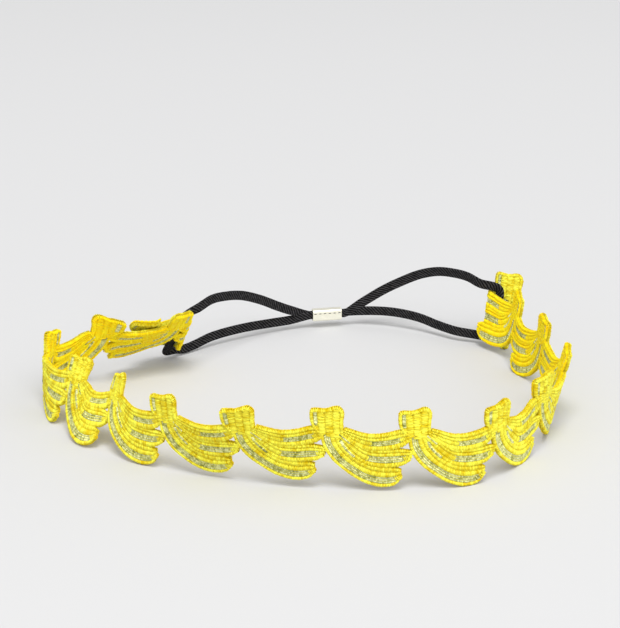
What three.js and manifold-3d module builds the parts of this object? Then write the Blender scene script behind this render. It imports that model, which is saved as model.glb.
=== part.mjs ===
// A headband: an embroidered lace strip of banana bunches that stands on its edge as an open ring.
// Each end of the strip is folded back to the outside round a flat elastic strap, and a metal crimp
// pinches the strap into two loops. Millimetres, +Z up.
// A place on the flat strip is (s, v, w): along it, up from its lower edge, and out of its face.
import * as THREE from "three";
import { mergeVertices } from "three/addons/utils/BufferGeometryUtils.js";
import Module from "manifold-3d";

const wasm = await Module();
wasm.setup();
const SAME_POINT = 1e-4;

// Lace strip
const PITCH = 26; // from one bunch to the next
const FIRST_BUNCH = -1; // the bunch in the left fold; bunch 0 is the first one that shows whole
const LAST_BUNCH = 14; // the bunch in the right fold
const CROWN_HALF = 0.95; // half the thickness of a bunch's crown
const CROWN_BEVEL = 0.3;
const SETTLE = 0.25; // how far the lower edges are pressed flat where they stand
const GROUND = 600;

// Folded ends
const FOLD_RADIUS = 1.9;
const FOLD_STEPS = 3;
const LEFT_FOLD = { at: 1.5, forward: -1, turn: 160, lean: 20, leanWithin: 14, droop: 0.1 };
const RIGHT_FOLD = { at: 360.6, forward: 1, turn: 154, lean: 0, leanWithin: 8, droop: 0.12 };
const TIP_TURN = 15; // degrees that the outer tip at the right fold turns
const TIP_END = 29; // past that tip, along its bunch
const SLIT_WIDTH = 0.35; // frees that tip from the banana above it
const SLIT_START = { u: 17.6, v: 7.4 };
const SLIT_END = { u: 26.2, v: 6.85 };

// Elastic strap and crimp
const ELASTIC_WIDTH = 3.4;
const ELASTIC_THICKNESS = 1.1;
const ELASTIC_EDGE = 0.3; // rounding of its edges
const PINCHED_WIDTH = 2.8;
const PINCHED_THICKNESS = 0.9;
const LANE = 0.6; // each strand's distance from the crimp's middle plane
const STRAP_END_GAP = 0.2; // each strap end's distance from the crimp's middle
const STRAP_LEAD = 1.2; // how far each strand runs straight on out of the crimp
const STRAP_STEPS = 2; // sections from one row of the route to the next
const CRIMP = { x: 6.1, y: -14, z: 4.9, heading: 9 };
const CRIMP_LENGTH = 10.6;
const CRIMP_WALL = 0.4;
const CRIMP_GAP = 0.3; // clearance to the strap
const CRIMP_SEAM = 0.3;
const CRIMP_CORNER = 0.7;

// How the strip stands, by bunches from the left fold: its heading in plan, how far its top leans into
// the ring, in degrees, and how high its lower edge is.
const RING_START = { x: -46.6, y: -48 };
const STANCE = [
  { at: 0, heading: 208, lean: 36, lift: 3.2 },
  { at: 0.5, heading: 211, lean: 49, lift: 7.1 },
  { at: 1, heading: 209, lean: 45, lift: 6.9 },
  { at: 1.12, heading: 209, lean: 33, lift: 4.3 },
  { at: 1.5, heading: 218, lean: 16, lift: 2 },
  { at: 2, heading: 252, lean: 10, lift: 0 },
  { at: 2.5, heading: 281, lean: 2, lift: 0 },
  { at: 3, heading: 290, lean: 18, lift: 0 },
  { at: 3.5, heading: 302, lean: 30, lift: 0.5 },
  { at: 4, heading: 318, lean: 32, lift: 1 },
  { at: 5, heading: 335, lean: -4, lift: 0.5 },
  { at: 6, heading: 338, lean: -18, lift: 2.5 },
  { at: 7, heading: 349, lean: -8, lift: 3 },
  { at: 8, heading: 361, lean: -2, lift: 1.2 },
  { at: 8.5, heading: 366, lean: -2, lift: 1 },
  { at: 9, heading: 388, lean: -5, lift: 0 },
  { at: 9.5, heading: 414, lean: -3, lift: 0 },
  { at: 9.8, heading: 416, lean: -2, lift: 0 },
  { at: 10, heading: 418, lean: -2, lift: 0.7 },
  { at: 11, heading: 445, lean: -16, lift: 0.5 },
  { at: 11.4, heading: 446, lean: -15, lift: 0.6 },
  { at: 12, heading: 454, lean: -6, lift: 0.6 },
  { at: 12.4, heading: 460, lean: -5, lift: 0.5 },
  { at: 12.8, heading: 482, lean: -5, lift: 0.1 },
  { at: 13.05, heading: 462, lean: -8, lift: 0.2 },
  { at: 13.4, heading: 459, lean: -10, lift: 0.9 },
  { at: 13.9, heading: 500, lean: -12, lift: 3.2 },
  { at: 14, heading: 502, lean: -12, lift: 3.2 },
];

// A bunch on the flat strip. Each row of a banana is a section from its lower edge to its upper edge.
const OUTER_BANANA = [
  { lowU: 3.5, lowV: 18.6, topU: 8.6, topV: 18.4 },
  { lowU: 4, lowV: 13.2, topU: 9.8, topV: 14.2 },
  { lowU: 6.6, lowV: 8.4, topU: 12.4, topV: 10.9 },
  { lowU: 10.4, lowV: 4.8, topU: 15, topV: 8.9 },
  { lowU: 15.4, lowV: 1.5, topU: 18.4, topV: 7.3 },
  { lowU: 20.8, lowV: 0, topU: 22.2, topV: 6.8 },
  { lowU: 25.2, lowV: 0.8, topU: 25.4, topV: 6.8 },
  { lowU: 27.6, lowV: 3.4, topU: 27.2, topV: 6.2 },
];
const MIDDLE_BANANA = [
  { lowU: 7.6, lowV: 15.8, topU: 10.4, topV: 18 },
  { lowU: 14.6, lowV: 8.6, topU: 16.4, topV: 13.2 },
  { lowU: 20, lowV: 6.6, topU: 20.8, topV: 12.5 },
  { lowU: 26.6, lowV: 7, topU: 26.6, topV: 12.9 },
  { lowU: 29.9, lowV: 8.9, topU: 31.2, topV: 12.3 },
];
const TOP_BANANA = [
  { lowU: 9.4, lowV: 16.4, topU: 11, topV: 19.2 },
  { lowU: 16.4, lowV: 12.4, topU: 17, topV: 17.6 },
  { lowU: 22, lowV: 12.1, topU: 22, topV: 17.8 },
  { lowU: 26.8, lowV: 13.1, topU: 27, topV: 19.1 },
  { lowU: 30, lowV: 15.4, topU: 30.2, topV: 19.2 },
];
// What is left of the last bunch's outer banana: it hangs down from the crown behind the right fold.
const HANGING_BANANA = [
  { lowU: 3.5, lowV: 18.6, topU: 8.6, topV: 18.4 },
  { lowU: 3.7, lowV: 12.4, topU: 9, topV: 12.8 },
  { lowU: 5.4, lowV: 5, topU: 9, topV: 5.4 },
  { lowU: 6, lowV: -1, topU: 8.6, topV: -0.8 },
  { lowU: 6.6, lowV: -4.2, topU: 8.2, topV: -4.2 },
];
// The relief across a banana: a raised cord along each edge and a lower fill between them.
const OUTER_RELIEF = [
  { across: 0, half: 0.45 },
  { across: 0.16, half: 0.9 },
  { across: 0.4, half: 0.6 },
  { across: 0.66, half: 0.95 },
  { across: 1, half: 0.5 },
];
const INNER_RELIEF = [
  { across: 0, half: 0.45 },
  { across: 0.24, half: 0.85 },
  { across: 0.72, half: 0.9 },
  { across: 1, half: 0.45 },
];
const CROWN_OUTLINE = [
  { u: 2.4, v: 17.6 },
  { u: 0.9, v: 20 },
  { u: 0.6, v: 24.4 },
  { u: 1.3, v: 25.3 },
  { u: 5.4, v: 25.4 },
  { u: 7.7, v: 26.3 },
  { u: 9.2, v: 26.3 },
  { u: 10.6, v: 24.6 },
  { u: 10.2, v: 20.6 },
  { u: 10.6, v: 18 },
];

// The strap's route outside the folds: places of its middle, and the way that its broad face looks in
// plan, in degrees.
const LEFT_LOWER_STRAND = [
  { x: -7.3, y: -17.2, z: 3.9, face: 111 },
  { x: -13.8, y: -20, z: 3.9, face: 116 },
  { x: -24.6, y: -26, z: 4.2, face: 121 },
  { x: -35.2, y: -32.9, z: 3.7, face: 125 },
  { x: -41.4, y: -38.2, z: 2.5, face: 126 },
  { x: -44.8, y: -40.8, z: 2.1, face: 127 },
  { x: -48, y: -43.2, z: 2.8, face: 128 },
];
const LEFT_UPPER_STRAND = [
  { x: -38.4, y: -55.4, z: 22.6, face: 138 },
  { x: -34, y: -47.9, z: 23, face: 145 },
  { x: -29.1, y: -41.1, z: 21.8, face: 143 },
  { x: -24, y: -34.5, z: 19.6, face: 141 },
  { x: -17.8, y: -27.4, z: 15.5, face: 137 },
  { x: -11.5, y: -21.5, z: 10.8, face: 129 },
  { x: -7.2, y: -18.3, z: 8.1, face: 123 },
];
const RIGHT_LOWER_STRAND = [
  { x: 18.3, y: -13, z: 5.6, face: 84 },
  { x: 27, y: -15, z: 6.1, face: 71 },
  { x: 33.5, y: -17.8, z: 6.1, face: 63 },
  { x: 39.8, y: -21.4, z: 5.6, face: 57 },
  { x: 46.1, y: -26, z: 4.4, face: 51 },
  { x: 52.3, y: -30.8, z: 3.8, face: 50 },
  { x: 57.3, y: -32.9, z: 3.5, face: 58 },
  { x: 61.7, y: -34.4, z: 3.3, face: 56 },
];
const RIGHT_UPPER_STRAND = [
  { x: 60.1, y: -36.9, z: 23.8, face: 46 },
  { x: 56.2, y: -32.6, z: 24.8, face: 45 },
  { x: 52.2, y: -28.9, z: 24.9, face: 50 },
  { x: 46.1, y: -24.3, z: 24.2, face: 56 },
  { x: 39.8, y: -20.4, z: 21.9, face: 61 },
  { x: 33.5, y: -17.4, z: 18.4, face: 67 },
  { x: 27, y: -15, z: 14.4, face: 73 },
  { x: 18.6, y: -13.2, z: 8.6, face: 84 },
];
// The strap's route inside the folds, in the strip's own axes at the fold.
const LEFT_POCKET = [
  { along: 0.8, out: 2.8, up: -2.8 },
  { along: 1.8, out: 1.9, up: 3 },
  { along: 1.5, out: 1.9, up: 8.5 },
  { along: 1.4, out: 1.9, up: 13 },
  { along: 1.2, out: 1.8, up: 17 },
  { along: 0, out: 2, up: 21 },
];
const RIGHT_POCKET = [
  { along: 0.8, out: 2.5, up: 3.2 },
  { along: -1.4, out: 1.9, up: 7.4 },
  { along: -1.5, out: 1.9, up: 13 },
  { along: -1.3, out: 1.9, up: 19.2 },
];

const radians = THREE.MathUtils.degToRad;

function planDirection(degrees) {
  return new THREE.Vector3(Math.cos(radians(degrees)), Math.sin(radians(degrees)), 0);
}

// Solids

function solidOf(geometry) {
  const bare = geometry.clone();
  bare.deleteAttribute("normal");
  bare.deleteAttribute("uv");
  const merged = mergeVertices(bare, SAME_POINT);
  const vertProperties = new Float32Array(merged.attributes.position.array);
  const triVerts = new Uint32Array(merged.index.array);
  return new wasm.Manifold(new wasm.Mesh({ numProp: 3, vertProperties, triVerts }));
}

function geometryOf(solid) {
  const mesh = solid.getMesh();
  const geometry = new THREE.BufferGeometry();
  geometry.setAttribute("position", new THREE.BufferAttribute(new Float32Array(mesh.vertProperties), 3));
  geometry.setIndex(new THREE.BufferAttribute(new Uint32Array(mesh.triVerts), 1));
  return geometry;
}

function meshGeometry(points, triangles) {
  const geometry = new THREE.BufferGeometry().setFromPoints(points);
  geometry.setIndex(triangles.flat());
  return geometry;
}

// A closed body through sections. A section is a ring of points, its first half the front face and its
// second half the back face in reverse, so that each end is closed by strips from front to back.
function loft(sections) {
  const count = sections[0].length;
  const points = sections.flat();
  const triangles = [];
  for (let i = 0; i + 1 < sections.length; i++) {
    for (let j = 0; j < count; j++) {
      const a = i * count + j;
      const b = i * count + ((j + 1) % count);
      triangles.push([a, a + count, b + count], [a, b + count, b]);
    }
  }
  const last = (sections.length - 1) * count;
  for (let j = 0; j + 1 < count / 2; j++) {
    const back = count - 1 - j;
    triangles.push([j, j + 1, back - 1], [j, back - 1, back]);
    triangles.push([last + j, last + back - 1, last + j + 1], [last + j, last + back, last + back - 1]);
  }
  return meshGeometry(points, triangles);
}

// The flat strip

function banana(rows, relief) {
  const sections = rows.map((row) => {
    const front = relief.map(({ across, half }) => {
      const u = THREE.MathUtils.lerp(row.lowU, row.topU, across);
      const v = THREE.MathUtils.lerp(row.lowV, row.topV, across);
      return new THREE.Vector3(u, v, half);
    });
    const back = front.map((point) => new THREE.Vector3(point.x, point.y, -point.z)).reverse();
    return [...front, ...back];
  });
  return loft(sections);
}

function crown() {
  const outline = new THREE.Shape(CROWN_OUTLINE.map(({ u, v }) => new THREE.Vector2(u, v)));
  const geometry = new THREE.ExtrudeGeometry(outline, {
    depth: 2 * (CROWN_HALF - CROWN_BEVEL),
    bevelThickness: CROWN_BEVEL,
    bevelSize: CROWN_BEVEL,
    bevelOffset: -CROWN_BEVEL,
    bevelSegments: 1,
  });
  return geometry.translate(0, 0, CROWN_BEVEL - CROWN_HALF);
}

function joined(bananas) {
  return bananas.reduce((solid, piece) => solid.add(solidOf(piece)), solidOf(crown()));
}

function bunch() {
  const outer = banana(OUTER_BANANA, OUTER_RELIEF);
  const middle = banana(MIDDLE_BANANA, INNER_RELIEF);
  const top = banana(TOP_BANANA, INNER_RELIEF);
  return geometryOf(joined([outer, middle, top]));
}

function lastBunch() {
  return geometryOf(joined([banana(HANGING_BANANA, OUTER_RELIEF)]));
}

// The line between an outer banana's free tip and the banana above it.
function slitHeight(u) {
  const rise = (SLIT_END.v - SLIT_START.v) / (SLIT_END.u - SLIT_START.u);
  return SLIT_START.v + rise * (u - SLIT_START.u);
}

function slit(bunchIndex) {
  const run = SLIT_END.u - SLIT_START.u;
  const rise = SLIT_END.v - SLIT_START.v;
  const box = new THREE.BoxGeometry(Math.hypot(run, rise), SLIT_WIDTH, 4 * CROWN_HALF);
  box.rotateZ(Math.atan2(rise, run));
  const middle = (SLIT_START.u + SLIT_END.u) / 2;
  return box.translate(bunchIndex * PITCH + middle, slitHeight(middle), 0);
}

function flatStrip() {
  const oneBunch = bunch();
  let strip = solidOf(lastBunch().translate(LAST_BUNCH * PITCH, 0, 0));
  for (let i = FIRST_BUNCH; i < LAST_BUNCH; i++) {
    strip = strip.add(solidOf(oneBunch.clone().translate(i * PITCH, 0, 0)));
  }
  return geometryOf(strip.subtract(solidOf(slit(LAST_BUNCH - 1))));
}

// Splits the triangles of a geometry where they cross a place along the strip, so that a fold can bend there.
function splitAt(geometry, place) {
  const position = geometry.attributes.position;
  const points = [];
  for (let i = 0; i < position.count; i++) points.push(new THREE.Vector3().fromBufferAttribute(position, i));
  const corners = geometry.index.array;
  const side = points.map((point) => {
    return Math.abs(point.x - place) < 10 * SAME_POINT ? 0 : Math.sign(point.x - place);
  });
  const cuts = new Map();
  const cutBetween = (a, b) => {
    const key = `${Math.min(a, b)} ${Math.max(a, b)}`;
    if (!cuts.has(key)) {
      const [from, to] = [points[Math.min(a, b)], points[Math.max(a, b)]];
      const part = (place - from.x) / (to.x - from.x);
      cuts.set(key, points.push(from.clone().lerp(to, part)) - 1);
    }
    return cuts.get(key);
  };
  const triangles = [];
  for (let i = 0; i < corners.length; i += 3) {
    const corner = [corners[i], corners[i + 1], corners[i + 2]];
    const isLone = (c) => side[c] !== 0 && corner.every((other) => other === c || side[other] !== side[c]);
    const lone = corner.findIndex(isLone);
    const crossed = corner.some((c) => side[c] < 0) && corner.some((c) => side[c] > 0);
    if (!crossed) {
      triangles.push(corner);
      continue;
    }
    const [a, b, c] = [corner[lone], corner[(lone + 1) % 3], corner[(lone + 2) % 3]];
    if (side[b] === 0) {
      const ac = cutBetween(a, c);
      triangles.push([a, b, ac], [b, c, ac]);
    } else if (side[c] === 0) {
      const ab = cutBetween(a, b);
      triangles.push([a, ab, c], [ab, b, c]);
    } else {
      const ab = cutBetween(a, b);
      const ac = cutBetween(a, c);
      triangles.push([a, ab, ac], [ab, b, c], [ab, c, ac]);
    }
  }
  return meshGeometry(points, triangles);
}

// The ring that the strip stands in

// Each stretch between two rows of the stance turns evenly, so it is an arc in plan.
function arcEnd(start, turn, length) {
  const half = turn / 2;
  const chord = Math.abs(half) < SAME_POINT ? length : (length * Math.sin(half)) / half;
  const heading = radians(start.heading) + half;
  return { x: start.x + chord * Math.cos(heading), y: start.y + chord * Math.sin(heading) };
}

const ringRows = [{ ...STANCE[0], ...RING_START }];
for (let i = 1; i < STANCE.length; i++) {
  const before = ringRows[i - 1];
  const row = STANCE[i];
  const end = arcEnd(before, radians(row.heading - before.heading), (row.at - before.at) * PITCH);
  ringRows.push({ ...row, ...end });
}

// The strip's own axes at a place along it: along, up (leaning) and out of the ring.
function ringFrame(s) {
  const at = s / PITCH;
  const next = ringRows.findIndex((row) => row.at > at);
  const index = next < 0 ? ringRows.length - 2 : Math.max(next - 1, 0);
  const [from, to] = [ringRows[index], ringRows[index + 1]];
  const part = (at - from.at) / (to.at - from.at);
  const turn = radians(to.heading - from.heading) * part;
  const place = arcEnd(from, turn, (at - from.at) * PITCH);
  const heading = from.heading + (to.heading - from.heading) * part;
  const lean = radians(THREE.MathUtils.lerp(from.lean, to.lean, part));
  const lift = THREE.MathUtils.lerp(from.lift, to.lift, part);
  const outwards = planDirection(heading - 90);
  const up = new THREE.Vector3(0, 0, Math.cos(lean)).addScaledVector(outwards, -Math.sin(lean));
  const out = new THREE.Vector3(0, 0, Math.sin(lean)).addScaledVector(outwards, Math.cos(lean));
  const foot = new THREE.Vector3(place.x, place.y, lift - SETTLE);
  return { foot, along: planDirection(heading), up, out };
}

// A fold at one end: the strip turns round an arc and then runs straight on as a flap, which leans more.
function foldedFrame(fold, run) {
  const frame = ringFrame(fold.at);
  const along = frame.along.clone().multiplyScalar(fold.forward);
  const angle = Math.min(run / FOLD_RADIUS, radians(fold.turn));
  const straight = run - FOLD_RADIUS * angle;
  const [sine, cosine] = [Math.sin(angle), Math.cos(angle)];
  const foot = frame.foot.clone();
  foot.addScaledVector(along, FOLD_RADIUS * sine + straight * cosine);
  foot.addScaledVector(frame.out, FOLD_RADIUS * (1 - cosine) + straight * sine);
  foot.addScaledVector(frame.up, -fold.droop * straight);
  const out = frame.out.clone().multiplyScalar(cosine).addScaledVector(along, -sine);
  const extra = radians(fold.lean) * Math.min(straight / fold.leanWithin, 1);
  const up = frame.up.clone().applyAxisAngle(frame.along, -extra);
  out.applyAxisAngle(frame.along, -extra);
  return { foot, up, out };
}

// The outer tip below the slit turns less than the rest of the right fold.
function isFreeTip(s, v) {
  const u = s - (LAST_BUNCH - 1) * PITCH;
  return u > SLIT_START.u && u < TIP_END && v < slitHeight(u);
}

function stripFrame(s, v) {
  if (s < LEFT_FOLD.at) return foldedFrame(LEFT_FOLD, LEFT_FOLD.at - s);
  if (s <= RIGHT_FOLD.at) return ringFrame(s);
  const fold = isFreeTip(s, v) ? { ...RIGHT_FOLD, turn: TIP_TURN, droop: 0 } : RIGHT_FOLD;
  return foldedFrame(fold, s - RIGHT_FOLD.at);
}

function bend(geometry) {
  const position = geometry.attributes.position;
  for (let i = 0; i < position.count; i++) {
    const [s, v, w] = [position.getX(i), position.getY(i), position.getZ(i)];
    const frame = stripFrame(s, v);
    const point = frame.foot.clone().addScaledVector(frame.up, v).addScaledVector(frame.out, w);
    position.setXYZ(i, point.x, point.y, point.z);
  }
  return geometry;
}

function bananaTrim() {
  let strip = flatStrip();
  for (const fold of [LEFT_FOLD, RIGHT_FOLD]) {
    const arc = FOLD_RADIUS * radians(fold.turn);
    for (let i = 0; i <= FOLD_STEPS; i++) {
      strip = splitAt(strip, fold.at + (fold.forward * arc * i) / FOLD_STEPS);
    }
  }
  const ground = new THREE.BoxGeometry(GROUND, GROUND, PITCH).translate(0, 0, -PITCH / 2);
  return geometryOf(solidOf(bend(strip)).subtract(solidOf(ground)));
}

// Elastic strap

function pocketRows(fold, rows) {
  const frame = ringFrame(fold.at);
  const face = THREE.MathUtils.radToDeg(Math.atan2(frame.out.y, frame.out.x));
  const tilt = THREE.MathUtils.radToDeg(Math.asin(frame.out.z));
  return rows.map(({ along, out, up }) => {
    const point = frame.foot.clone().addScaledVector(frame.along, along);
    point.addScaledVector(frame.out, out).addScaledVector(frame.up, up);
    return { x: point.x, y: point.y, z: point.z, face, tilt };
  });
}

function crimpRow(along, lane) {
  const point = planDirection(CRIMP.heading).multiplyScalar(along);
  point.addScaledVector(planDirection(CRIMP.heading + 90), lane);
  const face = CRIMP.heading + 90;
  return { x: CRIMP.x + point.x, y: CRIMP.y + point.y, z: CRIMP.z, face, pinched: 1 };
}

function strapRoute() {
  const mouth = CRIMP_LENGTH / 2;
  const lead = mouth + STRAP_LEAD;
  return [
    crimpRow(-STRAP_END_GAP, -LANE),
    crimpRow(-mouth, -LANE),
    crimpRow(-lead, -LANE),
    ...LEFT_LOWER_STRAND,
    ...pocketRows(LEFT_FOLD, LEFT_POCKET),
    ...LEFT_UPPER_STRAND,
    crimpRow(-lead, LANE),
    crimpRow(-mouth, LANE),
    crimpRow(mouth, LANE),
    crimpRow(lead, LANE),
    ...RIGHT_LOWER_STRAND,
    ...pocketRows(RIGHT_FOLD, RIGHT_POCKET),
    ...RIGHT_UPPER_STRAND,
    crimpRow(lead, -LANE),
    crimpRow(mouth, -LANE),
    crimpRow(STRAP_END_GAP, -LANE),
  ];
}

function strapSection({ center, tangent, face, tilt, pinched }) {
  const facing = planDirection(face).multiplyScalar(Math.cos(radians(tilt)));
  facing.z = Math.sin(radians(tilt));
  const normal = facing.addScaledVector(tangent, -facing.dot(tangent)).normalize();
  const across = tangent.clone().cross(normal);
  const half = THREE.MathUtils.lerp(ELASTIC_WIDTH, PINCHED_WIDTH, pinched) / 2;
  const thick = THREE.MathUtils.lerp(ELASTIC_THICKNESS, PINCHED_THICKNESS, pinched) / 2;
  const flat = half - ELASTIC_EDGE;
  const outline = [
    [half, 0],
    [flat, thick],
    [-flat, thick],
    [-half, 0],
    [-flat, -thick],
    [flat, -thick],
  ];
  return outline.map(([side, depth]) => {
    return center.clone().addScaledVector(across, side).addScaledVector(normal, depth);
  });
}

function elastic() {
  const rows = strapRoute();
  const points = rows.map(({ x, y, z }) => new THREE.Vector3(x, y, z));
  const curve = new THREE.CatmullRomCurve3(points, false, "centripetal");
  const spans = rows.length - 1;
  const sections = [];
  for (let i = 0; i <= spans * STRAP_STEPS; i++) {
    const index = Math.min(Math.floor(i / STRAP_STEPS), spans - 1);
    const part = i / STRAP_STEPS - index;
    const [from, to] = [rows[index], rows[index + 1]];
    const blend = (name) => THREE.MathUtils.lerp(from[name] ?? 0, to[name] ?? 0, part);
    const along = i / (spans * STRAP_STEPS);
    const place = { center: curve.getPoint(along), tangent: curve.getTangent(along) };
    const pose = { face: blend("face"), tilt: blend("tilt"), pinched: blend("pinched") };
    sections.push(strapSection({ ...place, ...pose }));
  }
  return loft(sections);
}

// Crimp: a metal strip folded round both strands, with an open seam along its front.

function crimp() {
  const innerDepth = LANE + PINCHED_THICKNESS / 2 + CRIMP_GAP;
  const innerHeight = PINCHED_WIDTH / 2 + CRIMP_GAP;
  const ring = (depth, height, corner) => [
    [depth - corner, -height],
    [depth, corner - height],
    [depth, height - corner],
    [depth - corner, height],
    [corner - depth, height],
    [-depth, height - corner],
  ];
  const seam = CRIMP_SEAM / 2;
  const half = (depth, height, corner) => [...ring(depth, height, corner), [-depth, seam]];
  const outer = half(innerDepth + CRIMP_WALL, innerHeight + CRIMP_WALL, CRIMP_CORNER);
  const inner = half(innerDepth, innerHeight, CRIMP_CORNER - CRIMP_WALL);
  const lower = (depth, height, corner) => [
    [-depth, -seam],
    [-depth, corner - height],
    [corner - depth, -height],
  ];
  const outerLower = lower(innerDepth + CRIMP_WALL, innerHeight + CRIMP_WALL, CRIMP_CORNER);
  const innerLower = lower(innerDepth, innerHeight, CRIMP_CORNER - CRIMP_WALL);
  const path = [...outerLower, ...outer, ...inner.reverse(), ...innerLower.reverse()];
  const outline = new THREE.Shape(path.map(([depth, height]) => new THREE.Vector2(depth, height)));
  const tube = new THREE.ExtrudeGeometry(outline, { depth: CRIMP_LENGTH, bevelEnabled: false });
  tube.translate(0, 0, -CRIMP_LENGTH / 2);
  const depthAxis = new THREE.Vector3(0, 1, 0);
  const heightAxis = new THREE.Vector3(0, 0, 1);
  const lengthAxis = new THREE.Vector3(1, 0, 0);
  return tube.applyMatrix4(new THREE.Matrix4().makeBasis(depthAxis, heightAxis, lengthAxis));
}

// Assembly

const LACE_FINISH = { color: 0xf2d400, roughness: 0.55, metalness: 0 };
const ELASTIC_FINISH = { color: 0x19191b, roughness: 0.8, metalness: 0 };
const CRIMP_FINISH = { color: 0xe9dfb6, roughness: 0.25, metalness: 1 };

function piece(name, geometry, finish) {
  const mesh = new THREE.Mesh(geometry, new THREE.MeshStandardMaterial(finish));
  mesh.name = name;
  return mesh;
}

const headband = new THREE.Group();
headband.add(piece("banana_trim", bananaTrim(), LACE_FINISH));
headband.add(piece("elastic", elastic(), ELASTIC_FINISH));
const crimpMesh = piece("crimp", crimp(), CRIMP_FINISH);
crimpMesh.position.set(CRIMP.x, CRIMP.y, CRIMP.z);
crimpMesh.rotation.z = radians(CRIMP.heading);
headband.add(crimpMesh);

// The origin is on the surface that the headband stands on, under the middle of its box.
const box = new THREE.Box3().setFromObject(headband);
const middle = box.getCenter(new THREE.Vector3());
headband.position.set(-middle.x, -middle.y, 0);

export default headband;
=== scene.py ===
"""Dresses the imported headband: embroidered banana lace, a braided elastic strap and a brass crimp.

A place on the flat lace is (s, v, w): along the strip, up from its lower edge, and out of its face.
Tables are in millimetres, as in the part's source, and finished meshes are in metres.
"""

import math

import bpy
import numpy as np
from bpy.props import FloatProperty, FloatVectorProperty, IntProperty, PointerProperty
from mathutils import Euler, Matrix, Vector


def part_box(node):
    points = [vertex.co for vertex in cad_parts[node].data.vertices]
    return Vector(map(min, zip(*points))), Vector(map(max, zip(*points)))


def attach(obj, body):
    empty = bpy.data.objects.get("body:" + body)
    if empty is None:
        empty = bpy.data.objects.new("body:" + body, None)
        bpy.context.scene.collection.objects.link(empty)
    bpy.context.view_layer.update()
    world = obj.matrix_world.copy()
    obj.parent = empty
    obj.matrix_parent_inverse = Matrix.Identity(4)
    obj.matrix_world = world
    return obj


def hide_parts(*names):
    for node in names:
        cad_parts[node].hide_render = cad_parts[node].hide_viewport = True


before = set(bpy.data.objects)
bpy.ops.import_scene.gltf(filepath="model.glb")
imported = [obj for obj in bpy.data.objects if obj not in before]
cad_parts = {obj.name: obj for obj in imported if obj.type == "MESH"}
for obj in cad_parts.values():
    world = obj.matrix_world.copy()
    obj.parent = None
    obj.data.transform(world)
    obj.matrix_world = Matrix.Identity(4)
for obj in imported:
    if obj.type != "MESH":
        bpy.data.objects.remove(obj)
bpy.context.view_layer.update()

bl_info = {
    "name": "Banana headband",
    "version": (1, 0, 0),
    "blender": (4, 5, 0),
    "location": "View3D > Sidebar > Headband",
    "description": "Builds an embroidered banana headband on its packed frame",
    "category": "Object",
}

MM = 0.001
MOST_TRIANGLES = 200_000
TINY = 1e-6

# Lace strip
PITCH = 26.0
FIRST_BUNCH = -1
LAST_BUNCH = 14
SETTLE = 0.25
FLOOR_CLEARANCE = 0.02
RING_START = (-46.6, -48.0)
# Folds at the strip's ends: where, which way, how far round in degrees, how much more the flap leans
# and within what length, and how steeply it droops.
FOLD_RADIUS = 1.9
LEFT_FOLD = {"at": 1.5, "forward": -1, "turn": 160, "lean": 20, "lean_within": 14, "droop": 0.1}
RIGHT_FOLD = {"at": 360.6, "forward": 1, "turn": 154, "lean": 0, "lean_within": 8, "droop": 0.12}
TIP_FOLD = {**RIGHT_FOLD, "turn": 15, "droop": 0}

# How the strip stands: bunches from the left fold, heading in plan, lean of its top into the ring in
# degrees, and height of its lower edge.
STANCE = np.array(
    (
        (0, 208, 36, 3.2),
        (0.5, 211, 49, 7.1),
        (1, 209, 45, 6.9),
        (1.12, 209, 33, 4.3),
        (1.5, 218, 16, 2),
        (2, 252, 10, 0),
        (2.5, 281, 2, 0),
        (3, 290, 18, 0),
        (3.5, 302, 30, 0.5),
        (4, 318, 32, 1),
        (5, 335, -4, 0.5),
        (6, 338, -18, 2.5),
        (7, 349, -8, 3),
        (8, 361, -2, 1.2),
        (8.5, 366, -2, 1),
        (9, 388, -5, 0),
        (9.5, 414, -3, 0),
        (9.8, 416, -2, 0),
        (10, 418, -2, 0.7),
        (11, 445, -16, 0.5),
        (11.4, 446, -15, 0.6),
        (12, 454, -6, 0.6),
        (12.4, 460, -5, 0.5),
        (12.8, 482, -5, 0.1),
        (13.05, 462, -8, 0.2),
        (13.4, 459, -10, 0.9),
        (13.9, 500, -12, 3.2),
        (14, 502, -12, 3.2),
    )
)

# Sections of each form on the flat strip, from its lower edge (u, v) to its upper edge (u, v).
OUTER_BANANA = (
    (3.5, 18.6, 8.6, 18.4),
    (4, 13.2, 9.8, 14.2),
    (6.6, 8.4, 12.4, 10.9),
    (10.4, 4.8, 15, 8.9),
    (15.4, 1.5, 18.4, 7.3),
    (20.8, 0, 22.2, 6.8),
    (25.2, 0.8, 25.4, 6.8),
    (27.6, 3.4, 27.2, 6.2),
)
MIDDLE_BANANA = (
    (7.6, 15.8, 10.4, 18),
    (14.6, 8.6, 16.4, 13.2),
    (20, 6.6, 20.8, 12.5),
    (26.6, 7, 26.6, 12.9),
    (29.9, 8.9, 31.2, 12.3),
)
TOP_BANANA = (
    (9.4, 16.4, 11, 19.2),
    (16.4, 12.4, 17, 17.6),
    (22, 12.1, 22, 17.8),
    (26.8, 13.1, 27, 19.1),
    (30, 15.4, 30.2, 19.2),
)
HANGING_BANANA = (
    (3.5, 18.6, 8.6, 18.4),
    (3.7, 12.4, 9, 12.8),
    (5.4, 5, 9, 5.4),
    (6, -1, 8.6, -0.8),
    (6.6, -4.2, 8.2, -4.2),
)
CROWN = (
    (1, 20.6, 0.8, 24.3),
    (1.6, 18.9, 1.5, 25.1),
    (2.9, 17.4, 3.4, 25.2),
    (5.6, 17.2, 5.5, 25.3),
    (7.8, 17.2, 7.8, 26.1),
    (9.2, 17.4, 9.2, 26.1),
    (10.1, 18, 10.2, 24.8),
    (10.2, 20, 10.4, 23.4),
)

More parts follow.
